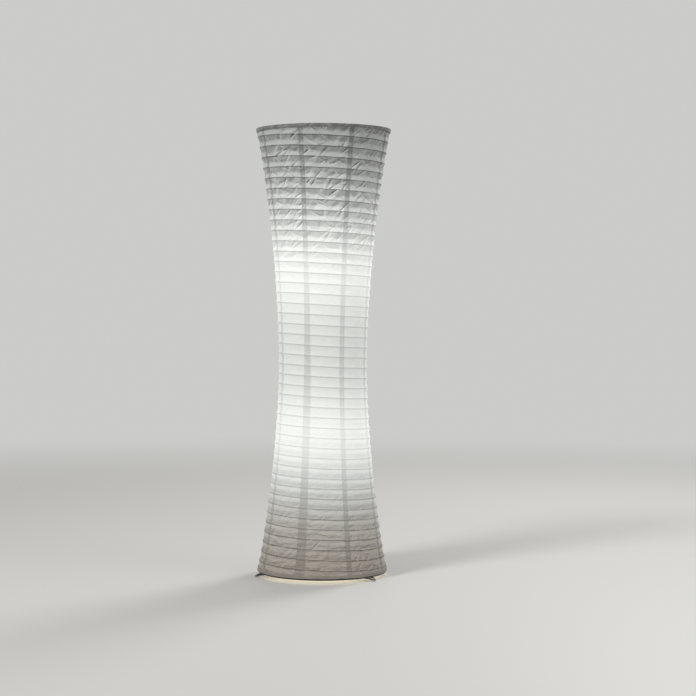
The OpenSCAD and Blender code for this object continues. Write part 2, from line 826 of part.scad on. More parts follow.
// Odd gores lie over their two neighbours, and even ones lie under theirs.
module paper_gore(n) {
    from_az = lap_az + (n - 1) * gore_deg - lap_deg / 2;
    inset = n % 2 == 0 ? paper_t + lap_play : 0;
    crests = gore_crests(from_az + (gore_deg + lap_deg) / 2);
    color(paper_colour)
        rotate([0, 0, from_az])
            rotate_extrude(angle = gore_deg + lap_deg, $fn = 96)
                polygon(concat(gore_edge(crests, inset), backwards(gore_edge(crests, inset + paper_t))));
}

module paper_gore_1() { paper_gore(1); }
module paper_gore_2() { paper_gore(2); }
module paper_gore_3() { paper_gore(3); }
module paper_gore_4() { paper_gore(4); }
module paper_gore_5() { paper_gore(5); }
module paper_gore_6() { paper_gore(6); }
module paper_gore_7() { paper_gore(7); }
module paper_gore_8() { paper_gore(8); }

leg_left();
leg_right();
leg_rear();
foot_caps();
base_ring();
base_plate();
base_nuts();
cord_grommet();
terminal_block();
terminal_screws();
rod_left_lower();
rod_right_lower();
rod_left_upper();
rod_right_upper();
rod_couplers();
lower_bridge();
upper_bridge();
bridge_screws();
top_bridge();
top_nuts();
lower_nipple();
lower_nipple_nut();
lower_holder_cap();
lower_holder_body();
lower_holder_insert();
lower_screw_shell();
lower_holder_contact();
upper_nipple();
upper_nipple_nut();
upper_holder_cap();
upper_holder_body();
upper_holder_insert();
upper_screw_shell();
upper_holder_contact();
lower_lead();
upper_lead();
lead_clips();
lower_bulb_contact();
lower_bulb_cap();
lower_bulb_glass();
upper_bulb_contact();
upper_bulb_cap();
upper_bulb_glass();
spreader_hub();
spreader_arm_left();
spreader_arm_right();
spreader_arm_rear();
thumb_nut();
bottom_ring();
spiral_rib();
top_ring();
paper_gore_1();
paper_gore_2();
paper_gore_3();
paper_gore_4();
paper_gore_5();
paper_gore_6();
paper_gore_7();
paper_gore_8();
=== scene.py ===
import math

import bmesh
import bpy
import numpy as np
from mathutils import Matrix, Vector


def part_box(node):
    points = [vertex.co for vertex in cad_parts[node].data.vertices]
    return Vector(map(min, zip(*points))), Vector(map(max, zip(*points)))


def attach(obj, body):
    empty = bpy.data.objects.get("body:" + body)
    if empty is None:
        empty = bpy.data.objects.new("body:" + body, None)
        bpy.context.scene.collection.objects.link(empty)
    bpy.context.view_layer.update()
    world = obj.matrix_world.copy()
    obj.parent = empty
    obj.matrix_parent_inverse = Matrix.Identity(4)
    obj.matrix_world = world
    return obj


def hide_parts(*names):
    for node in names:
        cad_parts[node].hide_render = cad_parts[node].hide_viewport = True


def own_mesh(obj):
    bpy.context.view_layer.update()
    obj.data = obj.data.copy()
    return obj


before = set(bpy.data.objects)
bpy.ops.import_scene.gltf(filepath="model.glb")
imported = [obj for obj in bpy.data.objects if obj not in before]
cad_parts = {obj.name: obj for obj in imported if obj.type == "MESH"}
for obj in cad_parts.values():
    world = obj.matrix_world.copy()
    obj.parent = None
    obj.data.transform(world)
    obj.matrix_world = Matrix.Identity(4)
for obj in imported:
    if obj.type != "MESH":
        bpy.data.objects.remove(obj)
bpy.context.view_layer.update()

MM = 0.001


# ---- Camera ----
# A long lens at waist height, well back from the lamp. It looks a little down and a little to
# the right, so that the lamp stands left of the middle as in the photograph.
ring_low, ring_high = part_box("top_ring")
axis_x, axis_y = (ring_low[0] + ring_high[0]) / 2, (ring_low[1] + ring_high[1]) / 2
camera_back = 4.70
camera_height = 0.732
look_down = math.radians(1.46)
look_right = math.radians(0.826)
roll = math.radians(0.21)

camera = bpy.data.objects.new("camera", bpy.data.cameras.new("camera"))
camera.data.lens = 90.05
camera.location = (axis_x, axis_y - camera_back, camera_height)
aim = Matrix.Rotation(-look_right, 3, "Z") @ Matrix.Rotation(math.pi / 2 - look_down, 3, "X")
camera.rotation_euler = (aim @ Matrix.Rotation(roll, 3, "Z")).to_euler()
bpy.context.scene.collection.objects.link(camera)
bpy.context.scene.camera = camera
bpy.context.scene.view_settings.view_transform = "Standard"


# ---- Floor and light ----
# A plain pale floor that runs out into a pale backdrop, under soft studio light. The backdrop's
# colour shows to the camera and in gloss, while what lights the lamp is set apart from it.
class Strand:
    """One socket among a finish's nodes. Sums and products of strands add Math nodes."""

    def __init__(self, tree, socket):
        self.tree, self.socket = tree, socket

    def node(self, kind, settings, values, out=0):
        """Any node: its type, its settings, which come first, and its sockets' values or links."""
        made = self.tree.nodes.new("ShaderNode" + kind)
        for name, value in settings.items():
            setattr(made, name, value)
        for name, value in values.items():
            if isinstance(value, Strand):
                self.tree.links.new(value.socket, made.inputs[name])
            else:
                made.inputs[name].default_value = value
        return Strand(self.tree, made.outputs[out])

    def math(self, operation, *others):
        return self.node("Math", {"operation": operation}, dict(enumerate((self, *others))))

    def __add__(self, other):
        return self.math("ADD", other)

    def __sub__(self, other):
        return self.math("SUBTRACT", other)

    def __mul__(self, other):
        return self.math("MULTIPLY", other)

    def __truediv__(self, other):
        return self.math("DIVIDE", other)

    def __pow__(self, other):
        return self.math("POWER", other)

    def __rsub__(self, other):
        return self * -1 + other

    def __rtruediv__(self, other):
        return self**-1 * other

    __radd__, __rmul__ = __add__, __mul__


def eased(strand, low, high):
    """0 below low, 1 above high and a smooth rise between. With low above high it falls."""
    ease = {"interpolation_type": "SMOOTHSTEP"}
    return strand.node("MapRange", ease, {"Value": strand, "From Min": low, "From Max": high})


backdrop = (0.60, 0.60, 0.585, 1)
sky_light = 0.32
floor_r, floor_drop = 9.0, 0.2 * MM
horizon_from, horizon_to = 1.4, 5.0

world = bpy.data.worlds.new("studio")
world.use_nodes = True
bpy.context.scene.world = world
sky = world.node_tree
ray = Strand(sky, sky.nodes.new("ShaderNodeLightPath").outputs["Is Camera Ray"])
paths = ray.socket.node.outputs
seen = ray.math("MAXIMUM", Strand(sky, paths["Is Glossy Ray"]))
seen = seen.math("MAXIMUM", Strand(sky, paths["Is Transmission Ray"]))
lighting = ray.node("Background", {}, {"Color": (1, 1, 1, 1), "Strength": sky_light})
showing = ray.node("Background", {}, {"Color": backdrop, "Strength": 1.0})
surface = ray.node("MixShader", {}, {0: seen, 1: lighting, 2: showing})
sky.links.new(surface.socket, sky.nodes["World Output"].inputs["Surface"])

bm = bmesh.new()
bmesh.ops.create_circle(bm, cap_ends=True, segments=96, radius=floor_r)
floor = bpy.data.objects.new("floor", bpy.data.meshes.new("floor"))
bm.to_mesh(floor.data)
bm.free()
floor.location.z = -floor_drop
bpy.context.scene.collection.objects.link(floor)

material = bpy.data.materials.new("floor")
material.use_nodes = True
tree = material.node_tree
shader = tree.nodes["Principled BSDF"]
shader.inputs["Base Color"].default_value = (0.54, 0.53, 0.51, 1)
shader.inputs["Roughness"].default_value = 0.55
place = Strand(tree, tree.nodes.new("ShaderNodeTexCoord").outputs["Object"])
reach = place.node("VectorMath", {"operation": "LENGTH"}, {0: place}, out=1)
far = eased(reach, horizon_from, horizon_to)
plain = Strand(tree, shader.outputs[0])
glow = place.node("Emission", {}, {"Color": backdrop, "Strength": 1.0})
surface = place.node("MixShader", {}, {0: far, 1: plain, 2: glow})
tree.links.new(surface.socket, tree.nodes["Material Output"].inputs["Surface"])
floor.data.materials.append(material)


def soft_light(name, place, target, size, watts, colour=(1, 1, 1)):
    """A round area light that looks at a point."""
    lamp = bpy.data.objects.new(name, bpy.data.lights.new(name, "AREA"))
    lamp.data.shape = "DISK"
    lamp.data.size, lamp.data.energy, lamp.data.color = size, watts, colour
    lamp.location = place
    aim = Vector(target) - Vector(place)
    lamp.rotation_euler = aim.to_track_quat("-Z", "Y").to_euler()
    bpy.context.scene.collection.objects.link(lamp)


soft_light("key", (-2.1, -2.2, 3.4), (0, 0, 0.8), 1.0, 112)
soft_light("fill", (2.9, -1.6, 1.6), (0, 0, 0.6), 2.2, 22)
soft_light("rim", (1.7, 2.5, 3.0), (0, 0, 0.8), 1.3, 84)
# What the lit bulbs throw on the floor inside the base ring, and a little way out under it.
soft_light("pool", (axis_x, axis_y, 0.030), (axis_x, axis_y, 0), 0.33, 0.34, (1, 0.90, 0.68))


# ---- Enamelled wire and strip ----
# The base ring, the hairpin legs, the base plate, the lampholder bridges and the spreader are
# mild steel, bent and welded, then dipped in satin black enamel that pools slightly.
def finish(name, constants):
    """A new material with constants on its shader, and a strand of where its points lie."""
    made = bpy.data.materials.new(name)
    made.use_nodes = True
    tree = made.node_tree
    for socket, value in constants.items():
        tree.nodes["Principled BSDF"].inputs[socket].default_value = value
    return made, Strand(tree, tree.nodes.new("ShaderNodeTexCoord").outputs["Object"])


def lay(made, patterns):
    """Links what varies over the surface to the material's shader."""
    for socket, strand in patterns.items():
        shader = made.node_tree.nodes["Principled BSDF"]
        made.node_tree.links.new(strand.socket, shader.inputs[socket])
    return made


def cloud(place, scale, detail=3.0, stretch=None):
    """Soft noise from 0 to 1, at so many lumps a metre, stretched along an axis if asked."""
    if stretch:
        place = place.node("VectorMath", {"operation": "MULTIPLY"}, {0: place, 1: stretch})
    return place.node("TexNoise", {}, {"Vector": place, "Scale": scale, "Detail": detail})


def tint(share, one, other):
    """The colour that goes from one to the other as the share goes from 0 to 1."""
    return share.node("Mix", {"data_type": "RGBA"}, {0: share, 6: one, 7: other}, out=2)


def relief(height, depth):
    """Normals for a height pattern from 0 to 1 that is this deep."""
    return height.node("Bump", {}, {"Height": height, "Distance": depth})


def dress(made, *nodes):
    """Gives CAD nodes their finish."""
    for node in nodes:
        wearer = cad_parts[node]
        wearer.data.materials.clear()
        wearer.data.materials.append(made)


enamel, place = finish("black_enamel", {"Specular IOR Level": 0.45, "Coat Roughness": 0.2})
pooled = cloud(place, 90)
peel = cloud(place, 1400, 2.0)
dust = eased(cloud(place, 420, 5.0), 0.56, 0.78)
lay(enamel, {
    "Base Color": tint(dust, (0.018, 0.017, 0.016, 1), (0.060, 0.057, 0.053, 1)),
    "Roughness": pooled * 0.22 + peel * 0.08 + 0.22,
    "Coat Weight": pooled * 0.5,
    "Normal": relief(peel * 0.6 + pooled * 0.4, 0.12 * MM),
})
dress(enamel, "base_ring", "leg_left", "leg_right", "leg_rear", "base_plate", "lower_bridge",
      "upper_bridge", "top_bridge", "spreader_hub", "spreader_arm_left", "spreader_arm_right",
      "spreader_arm_rear")


# ---- Rubber ----
# The cord grommet is moulded matt rubber, snapped into the plate, with a dry bloom and a fine
# mould grain. The three foot caps are soft smoky vinyl, so the wire tips show through them.
rubber, place = finish("matt_rubber", {"Specular IOR Level": 0.3})
bloom = eased(cloud(place, 160, 6.0), 0.42, 0.72)
grain = cloud(place, 2600, 3.0)
lay(rubber, {
    "Base Color": tint(bloom, (0.020, 0.020, 0.020, 1), (0.052, 0.050, 0.048, 1)),
    "Roughness": bloom * 0.16 + grain * 0.10 + 0.62,
    "Normal": relief(grain, 0.08 * MM),
})
dress(rubber, "cord_grommet")

vinyl, place = finish("smoky_vinyl", {"Specular IOR Level": 0.5, "Alpha": 0.22})
bloom = cloud(place, 160, 5.0)
grain = cloud(place, 1900, 3.0)
lay(vinyl, {
    "Base Color": tint(bloom, (0.30, 0.29, 0.27, 1), (0.42, 0.40, 0.37, 1)),
    "Roughness": bloom * 0.16 + grain * 0.10 + 0.26,
    "Normal": relief(grain, 0.05 * MM),
})
dress(vinyl, "foot_caps")


# ---- Zinc-plated steel ----
# The uprights are drawn steel rod with couplers, nuts and set screws, all bright zinc plated.
# Drawing leaves fine lines along the rods, and the plating has a cloudy, faintly blue bloom.
zinc, place = finish("zinc_plate", {"Metallic": 1.0})
drawn = cloud(place, 2200, 3.0, (1, 1, 0.012))
bloom = cloud(place, 130, 4.0)
stain = eased(cloud(place, 46, 6.0), 0.58, 0.80)
lay(zinc, {
    "Base Color": tint(stain, (0.60, 0.62, 0.64, 1), (0.40, 0.40, 0.38, 1)),
    "Roughness": drawn * 0.16 + bloom * 0.20 + 0.16,
    "Normal": relief(drawn, 0.05 * MM),
})
dress(zinc, "base_nuts", "rod_left_lower", "rod_right_lower", "rod_left_upper",
      "rod_right_upper", "rod_couplers", "bridge_screws", "top_nuts", "lower_nipple",
      "lower_nipple_nut", "upper_nipple", "upper_nipple_nut", "thumb_nut")


# ---- Terminal block and leads ----
# The terminal block is moulded in white nylon with pressed brass screws. Two sheathed leads
# run from it up the rods to the lampholders, held by black clips.
nylon, place = finish("white_nylon", {"Specular IOR Level": 0.5})
sheen = cloud(place, 240, 4.0)
grain = cloud(place, 2400, 2.0)
handled = eased(cloud(place, 60, 5.0), 0.5, 0.8)
lay(nylon, {
    "Base Color": tint(handled, (0.74, 0.73, 0.69, 1), (0.60, 0.58, 0.52, 1)),
    "Roughness": sheen * 0.14 + grain * 0.08 + 0.34,
    "Normal": relief(grain, 0.04 * MM),
})
dress(nylon, "terminal_block")

brass, place = finish("pressed_brass", {"Metallic": 1.0})
tarnish = eased(cloud(place, 210, 6.0), 0.45, 0.75)
scuffs = cloud(place, 1500, 4.0, (1, 1, 0.2))
lay(brass, {
    "Base Color": tint(tarnish, (0.78, 0.56, 0.25, 1), (0.42, 0.28, 0.12, 1)),
    "Roughness": tarnish * 0.26 + scuffs * 0.18 + 0.12,
    "Normal": relief(scuffs, 0.04 * MM),
})
dress(brass, "terminal_screws", "lower_screw_shell", "lower_holder_contact",
      "upper_screw_shell", "upper_holder_contact")

sheath, place = finish("lead_sheath", {"Specular IOR Level": 0.4})
soil = eased(cloud(place, 70, 5.0), 0.45, 0.8)
grain = cloud(place, 1800, 3.0)
lay(sheath, {
    "Base Color": tint(soil, (0.66, 0.63, 0.55, 1), (0.48, 0.45, 0.38, 1)),
    "Roughness": soil * 0.2 + grain * 0.1 + 0.38,
    "Normal": relief(grain, 0.06 * MM),
})
dress(sheath, "lower_lead", "upper_lead")


# ---- Lampholders ----
# Each holder is a two-part moulding in black thermoset round a pressed ceramic insert. The
# thermoset has a faint swirl and a mould grain, and the ceramic is unglazed with dark specks.
moulding, place = finish("black_moulding", {"Specular IOR Level": 0.5})
swirl = cloud(place, 120, 5.0)
grain = cloud(place, 2000, 2.0)
lay(moulding, {
    "Base Color": tint(eased(swirl, 0.4, 0.8), (0.016, 0.016, 0.017, 1), (0.040, 0.039, 0.038, 1)),
    "Roughness": swirl * 0.16 + grain * 0.10 + 0.22,
    "Normal": relief(grain, 0.05 * MM),
})
dress(moulding, "lower_holder_cap", "lower_holder_body", "upper_holder_cap",
      "upper_holder_body", "lead_clips")

steatite, place = finish("steatite", {"Specular IOR Level": 0.4})
specks = eased(cloud(place, 3200, 2.0), 0.66, 0.74)
pores = cloud(place, 1800, 5.0)
lay(steatite, {
    "Base Color": tint(specks, (0.76, 0.74, 0.68, 1), (0.42, 0.38, 0.32, 1)),
    "Roughness": pores * 0.2 + 0.52,
    "Normal": relief(pores, 0.07 * MM),
})
dress(steatite, "lower_holder_insert", "upper_holder_insert")


# ---- Bulbs ----
# Two globe bulbs with etched glass, lit. The glass is brightest round its middle, where the
# filament is nearest, and greys towards the cap of rolled aluminium with its black insulator.
def lit_glass(name, globe_z):
    """Etched glass whose light falls off from the globe's middle down to its neck."""
    made, place = finish(name, {"Emission Strength": 1.0, "Specular IOR Level": 0.5,
                                "Alpha": 0.8})
    height = place.node("SeparateXYZ", {}, {0: place}, out=2)
    lit = 1 - eased(height.math("SUBTRACT", globe_z).math("ABSOLUTE"), 18 * MM, 62 * MM)
    frost = cloud(place, 2600, 3.0)
    return lay(made, {
        "Base Color": tint(frost, (0.92, 0.90, 0.84, 1), (0.84, 0.82, 0.76, 1)),
        "Emission Color": tint(lit, (0.30, 0.24, 0.16, 1), (1.0, 0.93, 0.80, 1)),
        "Roughness": frost * 0.14 + 0.42,
        "Normal": relief(frost, 0.03 * MM),
    })


for level in ("lower", "upper"):
    glass_low, glass_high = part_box(level + "_bulb_glass")
    globe_r = (glass_high[0] - glass_low[0]) / 2
    dress(lit_glass(level + "_glass", glass_high[2] - globe_r), level + "_bulb_glass")

rolled, place = finish("rolled_aluminium", {"Metallic": 1.0})
spun = cloud(place, 1600, 3.0, (0.05, 0.05, 1))
dulled = eased(cloud(place, 180, 5.0), 0.4, 0.8)
lay(rolled, {
    "Base Color": tint(dulled, (0.76, 0.76, 0.77, 1), (0.52, 0.52, 0.52, 1)),
    "Roughness": spun * 0.16 + dulled * 0.2 + 0.16,
    "Normal": relief(spun, 0.04 * MM),
})
dress(rolled, "lower_bulb_cap", "upper_bulb_cap")

vitrite, place = finish("black_vitrite", {"Specular IOR Level": 0.6})
flow = cloud(place, 300, 4.0)
lay(vitrite, {
    "Base Color": tint(flow, (0.018, 0.017, 0.020, 1), (0.050, 0.045, 0.052, 1)),
    "Roughness": flow * 0.2 + 0.1,
    "Normal": relief(flow, 0.08 * MM),
})
dress(vitrite, "lower_bulb_contact", "upper_bulb_contact")


# ---- Shade wire ----
# The top and bottom rings and the one long spiral rib are drawn steel wire with a dull mill
# finish. The rib is glued to the inside of the paper, turn after turn, and is left-handed.
wire, place = finish("drawn_wire", {"Metallic": 1.0})
lines = cloud(place, 900, 3.0)
rusted = eased(cloud(place, 60, 6.0), 0.60, 0.80)
lay(wire, {
    "Base Color": tint(rusted, (0.42, 0.42, 0.42, 1), (0.24, 0.18, 0.13, 1)),
    "Roughness": lines * 0.2 + rusted * 0.3 + 0.28,
    "Normal": relief(lines, 0.04 * MM),
})
dress(wire, "top_ring", "bottom_ring")

shade_top = 1200.0 * MM
shade_foot = 12.55 * MM
waist_z, waist_r = 560.0 * MM, 120.0 * MM
top_flare, top_power = 61.5 * MM, 1.75
foot_flare, foot_power = 55.5 * MM, 1.6
rib_low, rib_climb, rib_turns = 26.15 * MM, 1151.45 * MM, 42.5
band_stretch = 0.03
rib_pitch = rib_climb / rib_turns
rib_d = 1.8 * MM
rib_inset = 1.64 * MM
steps_a_turn = 40


def flare(reach, power):
    """How the shade opens out from its waist: a long curve with a quicker turn at the end."""
    return 0.9 * reach**power + 0.1 * reach**6


def shade_r(z):
    """Radius of the paper over the rib wire at each height."""
    up = np.clip((z - waist_z) / (shade_top - waist_z), 0, 1)
    down = np.clip((waist_z - z) / (waist_z - shade_foot), 0, 1)
    return waist_r + top_flare * flare(up, top_power) + foot_flare * flare(down, foot_power)


def rib_level(turns):
    """Height of the rib wire after so many turns. The shade's weight stretches its top most."""
    share = turns / rib_turns
    return rib_low + rib_climb * share * (1 - band_stretch * (1 - share))


def turns_at(z):
    """Turns of the rib wire up to a height: the inverse of rib_level."""
    slope = 1 - band_stretch
    share = (np.sqrt(slope**2 + 4 * band_stretch * (z - rib_low) / rib_climb) - slope)
    return rib_turns * share / (2 * band_stretch)


def climbed(turned):
    """Turns climbed after turning so far clockwise from +X. Each half turn is a plane arc."""
    half = np.floor(turned * 2)
    return (half + 0.5 - np.cos(np.pi * (turned * 2 - half)) / 2) / 2


def fold_with_shade(piece):
    """Puts a piece of the paper or its rib on the frame body, which holds the top ring they hang
    from, with a mesh of its own.
    """
    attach(piece, "frame")
    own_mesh(piece)


def points_of(mesh):
    """The mesh's points as an array, one row each."""
    flat = np.empty(len(mesh.vertices) * 3)
    mesh.vertices.foreach_get("co", flat)
    return flat.reshape(-1, 3)


def new_piece(name, bm, made):
    """A smooth-shaded object from a bmesh, with its finish."""
    piece = bpy.data.objects.new(name, bpy.data.meshes.new(name))
    bm.to_mesh(piece.data)
    bm.free()
    piece.data.materials.append(made)
    piece.data.shade_smooth()
    bpy.context.scene.collection.objects.link(piece)
    return piece


# An even helix of 1 m radius comes first, and each point is then drawn in and up to its place.
rib_steps = int(steps_a_turn * rib_turns)
rib_start = Matrix.Translation((1, 0, rib_low)) @ Matrix.Rotation(math.pi / 2, 4, "X")
bm = bmesh.new()
bmesh.ops.create_circle(bm, cap_ends=True, segments=8, radius=rib_d / 2, matrix=rib_start)
bmesh.ops.spin(bm, geom=bm.faces[:] + bm.edges[:] + bm.verts[:], cent=(0, 0, 0), axis=(0, 0, 1),
               dvec=(0, 0, rib_pitch * rib_turns / rib_steps), angle=-math.tau * rib_turns,
               steps=rib_steps, use_merge=False)
bmesh.ops.recalc_face_normals(bm, faces=bm.faces[:])
rib = new_piece("rib_wire", bm, wire)
at = points_of(rib.data)
even_climb = (at[:, 2] - rib_low) / rib_pitch
turned = -np.arctan2(at[:, 1], at[:, 0]) / math.tau
turned += np.round(even_climb - turned)
at[:, 2] += rib_level(climbed(turned)) - rib_low - rib_pitch * turned
spread = np.hypot(at[:, 0], at[:, 1])
drawn_in = (spread - 1 + shade_r(at[:, 2]) - rib_inset) / spread
at[:, 0], at[:, 1] = at[:, 0] * drawn_in + axis_x, at[:, 1] * drawn_in + axis_y
rib.data.vertices.foreach_set("co", at.ravel())
rib.data.update()
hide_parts("spiral_rib")
fold_with_shade(rib)


# ---- Paper ----
# Eight gores of thin white mulberry paper, lapped and glued along their long edges: odd ones
# lie over their two neighbours. The paper stands out over each turn of the rib wire and draws
# in between, and is creased by years of folding, most of all near the top.
gores = 8
gore_deg = 360 / gores
first_lap = -110
lap_w = 13.5 * MM
paper_t = 0.22 * MM
lap_step = 0.42 * MM
paper_dip = 2.6 * MM
columns = 76
band_rows = (0, 0.05, 0.13, 0.23, 0.34, 0.45, 0.56, 0.67, 0.78, 0.88, 0.955)
crease_seed, belly_seed = 7100, 9300
hem_foot, hem_top = shade_foot + 0.2 * MM, shade_top - 0.6 * MM


class Creases:
    """The sharp slanting folds of one band of paper, round the whole shade."""

    def __init__(self, band, z):
        lot = np.random.default_rng(crease_seed + band)
        self.count = int(np.interp(z, [0.0, 0.25, 0.5, 0.75, 0.95, 1.2], [40, 36, 24, 26, 38, 42]))
        depth = np.interp(z, [0.0, 0.2, 0.45, 0.75, 0.95, 1.2],
                          [1.1, 0.9, 0.3, 0.35, 1.8, 2.3]) * MM
        self.centre = lot.uniform(-180, 180, self.count)
        lean = np.where(lot.random(self.count) < 0.66, 1, -1)
        self.slant = lean * lot.uniform(18, 54, self.count) * MM
        self.width = lot.uniform(3.6, 7.0, self.count) * MM
        size = lot.uniform(0.35, 1.0, self.count)
        self.height = depth * size * lot.choice([-1, 1, 1], self.count)
        self.start = lot.uniform(-0.2, 0.45, self.count)
        self.end = self.start + lot.uniform(0.45, 1.1, self.count)

    def lift(self, degrees, share, radius):
        """How far the folds move the paper out, at an azimuth and a share of the band's height."""
        away = (degrees[:, None] - self.centre + 180) % 360 - 180
        across = np.radians(away) * radius[:, None] - self.slant * (share[:, None] - 0.5)
        ridge = np.clip(1 - np.abs(across) / self.width, 0, 1)
        along = np.clip((share[:, None] - self.start) * 6, 0, 1)
        along *= np.clip((self.end - share[:, None]) * 6, 0, 1)
        return (ridge * along * self.height).sum(1)


def wave(lot, along, lengths):
    """A smooth random wave from -1 to 1 along a line, made of a few lengths."""
    total = sum(np.sin(along * math.tau / length + lot.uniform(0, math.tau)) for length in lengths)
    return total / len(lengths)


def half_lap(number, z):
    """Half of a lap's width. The shade was closed at lap 0, which widens towards the foot."""
    closing = np.interp(z, [0.01, 0.12, 0.28, 0.45, 0.60, 0.95],
                        [27.5, 25.0, 20.5, 21.5, 18.0, lap_w / MM]) * MM
    return np.where(number % gores == 0, closing, lap_w) / 2


def beyond_lap(degrees, z):
    """Distance round the shade from the nearest lap's edge, below 0 where the paper is double."""
    number = np.round((degrees - first_lap) / gore_deg)
    away = np.abs(degrees - first_lap - number * gore_deg)
    return np.radians(away) * shade_r(z) - half_lap(number, z)


def paper_lift(degrees, z):
    """How far the paper stands off the smooth flare, for arrays of azimuths and heights."""
    start = climbed(-degrees / 360)
    turn = turns_at(z) - start
    band = np.floor(turn).astype(int)
    share = turn - band
    radius = shade_r(z)
    # Out to each crest, and soon slack again beyond the wire's two ends.
    wire_from = start + np.round(turn)
    past_end = np.maximum(-wire_from, wire_from - rib_turns)
    held = np.clip(1 - past_end / 0.06, 0, 1)
    over_wire = held * np.clip(1 - 2 * np.minimum(share, 1 - share), 0, 1) ** 2
    at_hem = np.clip(1 - np.minimum(z - hem_foot, hem_top - z) / (rib_pitch * 0.5), 0, 1) ** 1.7
    out = -paper_dip * (1 - np.maximum(over_wire, at_hem))
    # Slack between crests, where the paper creases and bellies.
    slack = np.sin(np.pi * share) ** 0.55 * (1 - at_hem)
    stiff = 1 - 0.65 * np.clip(1 - beyond_lap(degrees, z) / (4 * MM), 0, 1)
    folds = np.zeros_like(z)
    for number in np.unique(band):
        mine = band == number
        centre_z = float(np.mean(z[mine]))
        creases = Creases(int(number), centre_z)
        folds[mine] = creases.lift(degrees[mine], share[mine], radius[mine])
        lot = np.random.default_rng(belly_seed + int(number))
        arc = np.radians(degrees[mine]) * radius[mine]
        belly = wave(lot, arc, (0.031, 0.047, 0.083))
        belly = belly + 0.6 * wave(lot, arc + share[mine] * 0.02, (0.013, 0.019))
        folds[mine] += belly * np.interp(centre_z, [0, 0.3, 0.8, 1.0], [0.3, 0.16, 0.18, 0.4]) * MM
    return out + folds * slack * stiff


def mark_paper(piece, z, across, number, turn, lap):
    """Lays down where each point is on the flat paper, so that its pattern folds with it."""
    flat = np.stack([across, z, np.full_like(z, number)], 1)
    laid = piece.data.attributes.new("flat", "FLOAT_VECTOR", "POINT")
    laid.data.foreach_set("vector", flat.ravel())
    for name, value in (("turn", turn), ("lap", lap)):
        laid = piece.data.attributes.new(name, "FLOAT", "POINT")
        laid.data.foreach_set("value", np.broadcast_to(value, z.shape).ravel())
    piece.data.update()


def thicken(piece):
    """Gives a sheet of paper its thickness, on its inner side."""
    wall = piece.modifiers.new("paper", "SOLIDIFY")
    wall.thickness, wall.offset = paper_t, -1


def gore_piece(number, made):
    """One gore: a fine grid laid on the shade, whose rows follow the rib wire."""
    middle = first_lap + (number - 0.5) * gore_deg
    inset = 0 if number % 2 else lap_step
    first_turn = math.floor(turns_at(hem_foot) - climbed(-middle / 360)) - 1
    turns = np.arange(first_turn, first_turn + math.ceil(rib_turns) + 5)
    steps = (turns[:, None] + np.array(band_rows)).ravel()
    bm = bmesh.new()
    bmesh.ops.create_grid(bm, x_segments=columns, y_segments=len(steps) - 1, size=0.5)
    piece = new_piece(f"gore_{number}", bm, made)
    at = points_of(piece.data)
    row = np.rint((at[:, 1] + 0.5) * (len(steps) - 1)).astype(int)
    degrees = middle + at[:, 0] * gore_deg
    for _ in range(3):
        z = np.clip(rib_level(steps[row] + climbed(-degrees / 360)), hem_foot, hem_top)
        side = np.where(at[:, 0] < 0, half_lap(number - 1, z), half_lap(number, z))
        degrees = middle + at[:, 0] * (gore_deg + 2 * np.degrees(side / shade_r(z)))
    reach = shade_r(z) + paper_lift(degrees, z) - inset
    angle = np.radians(degrees)
    at[:, 0], at[:, 1], at[:, 2] = (np.cos(angle) * reach + axis_x,
                                    np.sin(angle) * reach + axis_y, z)
    piece.data.vertices.foreach_set("co", at.ravel())
    mark_paper(piece, z, np.radians(degrees - middle) * shade_r(z), number,
               turns_at(z) - climbed(-degrees / 360), beyond_lap(degrees, z))
    bm = bmesh.new()
    bm.from_mesh(piece.data)
    bmesh.ops.dissolve_degenerate(bm, dist=0.02 * MM, edges=bm.edges[:])
    bmesh.ops.recalc_face_normals(bm, faces=bm.faces[:])
    bm.to_mesh(piece.data)
    bm.free()
    thicken(piece)
    return piece


def cut_size(number):
    """A gore's greatest width, its length and its area, laid flat."""
    z = np.linspace(hem_foot, hem_top, 6000)
    middle = np.full_like(z, first_lap + (number - 0.5) * gore_deg)
    width = math.radians(gore_deg) * shade_r(z) + half_lap(number - 1, z) + half_lap(number, z)
    way = np.hypot(np.diff(z), np.diff(shade_r(z) + paper_lift(middle, z)))
    return float(width.max()), float(way.sum()), float((way * width[1:]).sum())


paper, place = finish("mulberry_paper", {"Emission Strength": 1.0, "Specular IOR Level": 0.25,
                                         "Sheen Weight": 0.12, "Sheen Roughness": 0.5})
flat = place.node("Attribute", {"attribute_name": "flat"}, {}, out=1)
turn = place.node("Attribute", {"attribute_name": "turn"}, {}, out=2)
lap = place.node("Attribute", {"attribute_name": "lap"}, {}, out=2)
height = flat.node("SeparateXYZ", {}, {0: flat}, out=1)

upper_lamp, lower_lamp, lamp_spread = 0.815, 0.385, 0.170
inner_half = 0.442
near_share, inner_share = 0.31, 0.338


def lamp_glow(lamp_z):
    """Light on the paper beside one bulb, falling off up and down the shade."""
    away = (height - lamp_z) / lamp_spread
    return (away * away + 1) ** -2


# A painted glow: each bulb's light on the paper near it, and the light thrown about inside that
# fills the shade between, are painted into the paper's emission.
middle_z = (upper_lamp + lower_lamp) / 2
inner_reach = ((height - middle_z) / inner_half).math("ABSOLUTE") ** 6
inner_light = 1 / (inner_reach + 1)
glow = (lamp_glow(upper_lamp) + lamp_glow(lower_lamp)) * near_share + inner_light * inner_share

across = flat.node("SeparateXYZ", {}, {0: flat}, out=0)
sheet_number = flat.node("SeparateXYZ", {}, {0: flat}, out=2)


def facets(lean, narrow, long):
    """Flat facets between sharp folds that lean over, as high as a facet is wide."""
    along = {0: (across - height * lean) * narrow, 1: (height + across * lean) * long,
             2: sheet_number * 7 + turn.math("FLOOR") * 3.3}
    leaning = flat.node("CombineXYZ", {}, along)
    return flat.node("TexVoronoi", {"feature": "DISTANCE_TO_EDGE"},
                     {"Vector": leaning, "Scale": 1.0})


